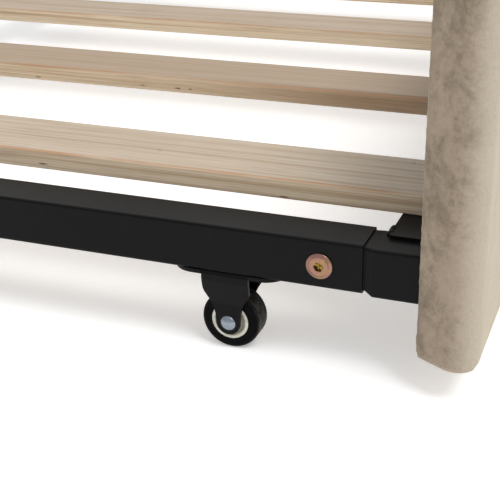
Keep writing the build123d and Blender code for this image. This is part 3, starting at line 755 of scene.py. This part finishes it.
def lining_sheet(places):
    """The black lining over the panel's back, drawn in a little at each staple."""
    columns = round(lining_length / LINING_STEP)
    rows = round(lining_height / LINING_STEP)
    back = hem_y + LINING_GAP
    vertices, faces = [], []
    for row in range(rows + 1):
        for column in range(columns + 1):
            x = lining_low[0] + lining_length * column / columns
            z = lining_low[2] + lining_height * row / rows
            scallop = SCALLOP * math.cos(2 * math.pi * (x - lining_low[0]) / STAPLE_PITCH)
            if row in (0, rows):
                z += (scallop - SCALLOP) * (-1 if row == 0 else 1)
            if column in (0, columns):
                x += TUCK * (1 if column == 0 else -1) * (row % 2)
            vertices.append((x, back, z))
    across = columns + 1
    for row in range(rows):
        for column in range(columns):
            first = row * across + column
            faces.append((first, first + 1, first + across + 1, first + across))
    sheet = make_piece("panel_back_lining", vertices, faces, "black_felt")
    finer = sheet.modifiers.new("finer", "SUBSURF")
    finer.subdivision_type = "SIMPLE"
    finer.levels = finer.render_levels = 1
    thick = sheet.modifiers.new("thick", "SOLIDIFY")
    thick.thickness = LINING_THICKNESS
    thick.offset = 0.0
    apply_modifiers(sheet)
    points = get_points(sheet.data)
    near = np.full(len(points), 1.0)
    for staple_x, staple_z, _ in places:
        near = np.minimum(near, np.hypot(points[:, 0] - staple_x, points[:, 2] - staple_z))
    ripple_places = [Vector((x * RIPPLE_SCALE, 0, z * RIPPLE_SCALE)) for x, _, z in points]
    ripples = np.array([noise.noise(place) for place in ripple_places])
    points[:, 1] += LINING_THICKNESS / 2 + LINING_LIFT + RIPPLE_HEIGHT * ripples
    points[:, 1] -= STAPLE_DENT * np.exp(-((near / STAPLE_DENT_REACH) ** 2))
    set_points(sheet.data, points)
    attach(sheet, "bed")
    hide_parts("panel_lining")


def wire_along(points, radius):
    """Vertices and faces of a round wire through some points, closed at both ends."""
    vertices = []
    for index, point in enumerate(points):
        ahead = points[min(index + 1, len(points) - 1)] - points[max(index - 1, 0)]
        ahead.normalize()
        side = ahead.cross(Vector((0.3, 0.9, 0.2))).normalized()  # any way but along the wire
        up = ahead.cross(side).normalized()
        vertices += circle(point, side, up, radius, WIRE_SIDES)
    return vertices, loft_faces(len(points), WIRE_SIDES)


def hidden_by_frame(x, z):
    """Whether a staple would be behind one of the front stubs."""
    outside = abs(x) > stub_high[0] * -1 - FRAME_MARGIN
    return outside and stub_low[2] - FRAME_MARGIN < z < stub_high[2] + FRAME_REACH


def staples(places):
    """The crowns of the staples that hold the lining, with their bent ends in the board."""
    vertices, faces = [], []
    inward = Vector((0, -1, 0))
    half = STAPLE_LENGTH / 2
    for x, z, angle in places:
        if hidden_by_frame(x, z):
            continue
        along = Vector((math.cos(angle), 0, math.sin(angle)))
        middle = Vector((x, hem_y + STAPLE_LIFT, z))
        points = [
            middle - along * half + inward * STAPLE_BITE,
            middle - along * half + inward * STAPLE_BEND,
            middle - along * (half - STAPLE_BEND),
            middle,
            middle + along * (half - STAPLE_BEND),
            middle + along * half + inward * STAPLE_BEND,
            middle + along * half + inward * STAPLE_BITE,
        ]
        append_mesh(vertices, faces, wire_along(points, STAPLE_WIRE))
    piece = make_piece("lining_staples", vertices, faces, "bright_zinc_steel")
    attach(piece, "bed")


places_of_staples = staple_places()
lining_sheet(places_of_staples)
staples(places_of_staples)

# ---- weld beads --------------------------------------------------------------------------

BEAD_RADIUS = 3.2 * MM
BEAD_RIPPLE = 2.6 * MM
BEAD_STEP = 0.6 * MM
BEAD_SIDES = 14
BEAD_TIP = 0.08  # the smallest radius at an end, as a share
BEAD_WANDER = 0.25 * MM
ANGLE_BEAD_LIFT = 0.6 * MM  # of the beads along an angle's edge
RAIL_BEAD_LIFT = 0.2 * MM  # how far the beads round a long rail's end are moved up in Y, or down
BEAD_MARGIN = 4 * MM  # from a bead's end to a corner of the steel
BEAD_OVERRUN = 5 * MM  # past the joint, along the angle
STITCH_COUNT = 3  # short beads along an angle, from each end of it
STITCH_START = 150  # millimetres from the joint to the first
STITCH_PITCH = 420  # millimetres
STITCH_LENGTH = 24  # millimetres


def weld_bead(start, end):
    """Vertices and faces of one rippled weld bead between two points."""
    start, end = Vector(start), Vector(end)
    length = (end - start).length
    count = max(6, round(length / BEAD_STEP))
    ahead = (end - start).normalized()
    side = ahead.orthogonal().normalized()
    up = ahead.cross(side).normalized()
    vertices = []
    for index in range(count + 1):
        distance = length * index / count
        nearest_end = min(distance, length - distance)
        ripple = (distance % BEAD_RIPPLE) / BEAD_RIPPLE
        swell_here = 0.84 + 0.16 * math.sqrt(1 - (1 - ripple) ** 2)
        round_end = math.sqrt(max(0.0, 1 - max(0.0, 1 - nearest_end / BEAD_RADIUS) ** 2))
        size = BEAD_RADIUS * swell_here * max(round_end, BEAD_TIP)
        drift = noise.noise(start * 90 + Vector((distance * 300, 0, SEED)))
        wander = Vector((0, 0, BEAD_WANDER * drift))
        vertices += circle(start + ahead * distance + wander, side, up, size, BEAD_SIDES)
    return vertices, loft_faces(count + 1, BEAD_SIDES)


def bead_lines(side_y, angle_node, rail_node):
    """Where the beads start and end on one long side of the frame."""
    angle_low, angle_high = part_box(angle_node)
    long_low, long_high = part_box(rail_node)
    edge_y = angle_high[1] if side_y < 0 else angle_low[1]
    inner_y = long_high[1] if side_y < 0 else long_low[1]
    outer_y = long_low[1] if side_y < 0 else long_high[1]
    bead_y = inner_y + RAIL_BEAD_LIFT
    top, bottom = long_high[2], long_low[2]
    angle_z = top + ANGLE_BEAD_LIFT
    under_z = bottom - RAIL_BEAD_LIFT
    lines = []
    for side_x in (-1, 1):
        joint_x = side_x * long_high[0]
        end_x = side_x * (angle_high[0] - BEAD_MARGIN)
        lines += [
            ((end_x, edge_y, angle_z), (joint_x - side_x * BEAD_OVERRUN, edge_y, angle_z)),
            (
                (joint_x, bead_y, bottom + BEAD_MARGIN),
                (joint_x, bead_y, top - BEAD_MARGIN),
            ),
            ((joint_x, inner_y, under_z), (joint_x, outer_y - side_y * BEAD_MARGIN, under_z)),
        ]
        for step in range(STITCH_COUNT):
            stitch = joint_x - side_x * (STITCH_START + STITCH_PITCH * step) * MM
            stitch_end = stitch - side_x * STITCH_LENGTH * MM
            lines.append(((stitch, edge_y, angle_z), (stitch_end, edge_y, angle_z)))
    return lines


def weld_beads():
    """Beads along the slat angles' edges over the stubs, and round the long rails' ends."""
    vertices, faces = [], []
    front = bead_lines(-1, "front_slat_angle", "front_rail")
    back = bead_lines(1, "back_slat_angle", "back_rail")
    for start, end in front + back:
        append_mesh(vertices, faces, weld_bead(start, end))
    piece = make_piece("weld_beads", vertices, faces, "black_powder_coat")
    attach(piece, "bed")


weld_beads()


# ---- floor, light and camera -------------------------------------------------------------


FLOOR_HALF = 14.0
FLOOR_GLOW = 0.32
WORLD_STRENGTH = 0.66
KEY_OFFSET = Vector((-1.0, -1.9, 3.5))  # from the corner that the camera sees
KEY_SIZE = 1.7
KEY_POWER = 88
CAMERA_PLACE = (-1.6936, -0.5798, 0.4440)
CAMERA_DEGREES = (65.22, 1.25, -68.69)
CAMERA_LENS = 77.15
CAMERA_SENSOR = 36.0


def floor():
    """A plain pale floor under the bed."""
    mesh = bpy.data.meshes.new("floor")
    half = FLOOR_HALF
    corners = [(-half, -half, 0), (half, -half, 0), (half, half, 0), (-half, half, 0)]
    mesh.from_pydata(corners, [], [(0, 1, 2, 3)])
    s = Shader("floor")
    dull, bright = (0.96, 0.96, 0.96, 1.0), (0.985, 0.985, 0.985, 1.0)
    grain = s.mix(s.noise(6.0, detail=4.0), dull, bright)
    # A light table: the floor itself glows a little, which keeps the shadows on it pale.
    mesh.materials.append(
        s.finish(
            Base_Color=grain,
            Roughness=0.85,
            Specular_IOR_Level=0.1,
            Emission_Color=(1.0, 1.0, 1.0, 1.0),
            Emission_Strength=FLOOR_GLOW,
        )
    )
    ground = bpy.data.objects.new("floor", mesh)
    scene.collection.objects.link(ground)


def area_light(name, place, target, size, power):
    """A soft square light at a place, facing a target."""
    data = bpy.data.lights.new(name, "AREA")
    data.shape = "SQUARE"
    data.size = size
    data.energy = power
    lamp = bpy.data.objects.new(name, data)
    lamp.location = place
    lamp.rotation_euler = (target - place).to_track_quat("-Z", "Y").to_euler()
    scene.collection.objects.link(lamp)


floor()

world = bpy.data.worlds.new("studio")
world.use_nodes = True
background = world.node_tree.nodes["Background"]
background.inputs["Color"].default_value = (1.0, 1.0, 1.0, 1.0)
background.inputs["Strength"].default_value = WORLD_STRENGTH
scene.world = world

corner = (Vector(stub_low) + Vector(stub_high)) / 2
area_light("key", corner + KEY_OFFSET, corner, KEY_SIZE, KEY_POWER)

camera_data = bpy.data.cameras.new("camera")
camera_data.sensor_width = CAMERA_SENSOR
camera_data.lens = CAMERA_LENS
camera = bpy.data.objects.new("camera", camera_data)
scene.collection.objects.link(camera)
scene.camera = camera
camera.location = CAMERA_PLACE
camera.rotation_euler = [math.radians(degrees) for degrees in CAMERA_DEGREES]
